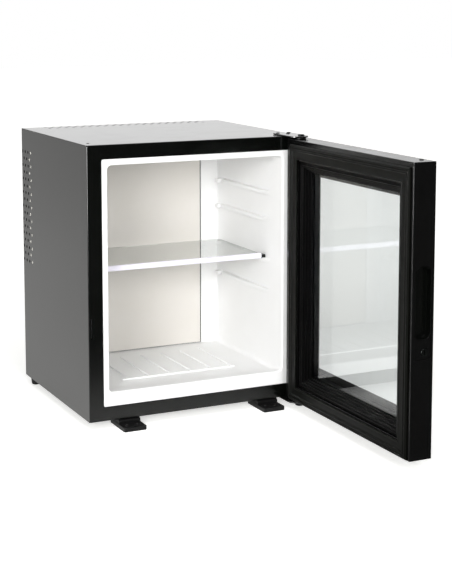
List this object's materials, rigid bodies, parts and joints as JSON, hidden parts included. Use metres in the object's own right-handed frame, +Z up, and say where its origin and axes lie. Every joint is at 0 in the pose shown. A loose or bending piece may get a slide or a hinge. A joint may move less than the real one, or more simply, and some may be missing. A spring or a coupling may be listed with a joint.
{
  "type": "glass door minibar fridge",
  "caption": "Compact built-in minibar fridge with a hinged double-glazed door, glass shelf, vented steel cabinet and a thermoelectric cooling unit.",
  "frame": {"origin": "the middle of the footprint of the fridge with its door open square, on the surface it stands on", "axes": "+X to the right of a person facing the cabinet, +Y from the front to the back, +Z up"},
  "size_m": [0.4166, 0.779, 0.5001],
  "materials": {
    "facia_plastic": "satin",
    "liner_plastic": "satin",
    "foam": "matte",
    "cabinet_steel": "satin",
    "cold_plate_coating": "satin",
    "bare_aluminium": "satin",
    "module_ceramic": "matte",
    "black_plastic": "satin",
    "cable_rubber": "matte",
    "hinge_steel": "satin",
    "pin_steel": "satin",
    "lock_steel": "gloss",
    "shelf_glass": "gloss",
    "door_glass": "gloss",
    "gasket_rubber": "matte"
  },
  "bodies": {
    "cabinet": {"front_frame": "facia_plastic", "inner_liner": "liner_plastic", "insulation_foam": "foam", "side_panel_left": "cabinet_steel", "side_panel_right": "cabinet_steel", "top_panel": "cabinet_steel", "base_panel": "cabinet_steel", "back_cover": "cabinet_steel", "cold_plate": "cold_plate_coating", "cold_block": "bare_aluminium", "thermoelectric_module": "module_ceramic", "heatsink": "bare_aluminium", "fan_frame": "black_plastic", "control_box": "black_plastic", "fan_cable": "cable_rubber", "module_cable": "cable_rubber", "cable_gland": "black_plastic", "upper_hinge_plate": "hinge_steel", "lower_hinge_plate": "hinge_steel", "upper_hinge_pin": "pin_steel", "lower_hinge_pin": "hinge_steel", "front_bracket_left": "black_plastic", "front_bracket_right": "black_plastic", "rear_foot_left": "black_plastic", "rear_foot_right": "black_plastic", "lock_keeper": "lock_steel"},
    "fan": {"fan_rotor": "black_plastic"},
    "shelf": {"shelf_glass": "shelf_glass", "shelf_front_trim": "liner_plastic", "shelf_end_clip": "black_plastic"},
    "door": {"door_frame": "facia_plastic", "outer_glass": "door_glass", "inner_glass": "door_glass", "glass_spacer": "black_plastic", "glass_trim": "black_plastic", "door_gasket": "gasket_rubber", "grip_cup": "facia_plastic", "upper_hinge_bushing": "black_plastic", "lower_hinge_bushing": "black_plastic", "door_top_plug": "black_plastic"},
    "lock": {"lock_barrel": "lock_steel", "lock_cam": "lock_steel"}
  },
  "joints": [
    {"name": "door_hinge", "type": "hinge", "parent": "cabinet", "child": "door", "pos_m": [0.18775, 0.006, 0.015], "axis": [0, 0, 1], "range_deg": [-90, 30]},
    {"name": "lock_turn", "type": "hinge", "parent": "door", "child": "lock", "pos_m": [0.19275, -0.389, 0.192], "axis": [0, 1, 0], "range_deg": [0, 90]},
    {"name": "shelf_slide", "type": "slide", "parent": "cabinet", "child": "shelf", "axis": [0, -1, 0], "range_m": [0, 0.06]},
    {"name": "fan_spin", "type": "hinge", "parent": "cabinet", "child": "fan", "pos_m": [-0.00225, 0.368, 0.345], "axis": [0, 1, 0], "continuous": true}
  ]
}
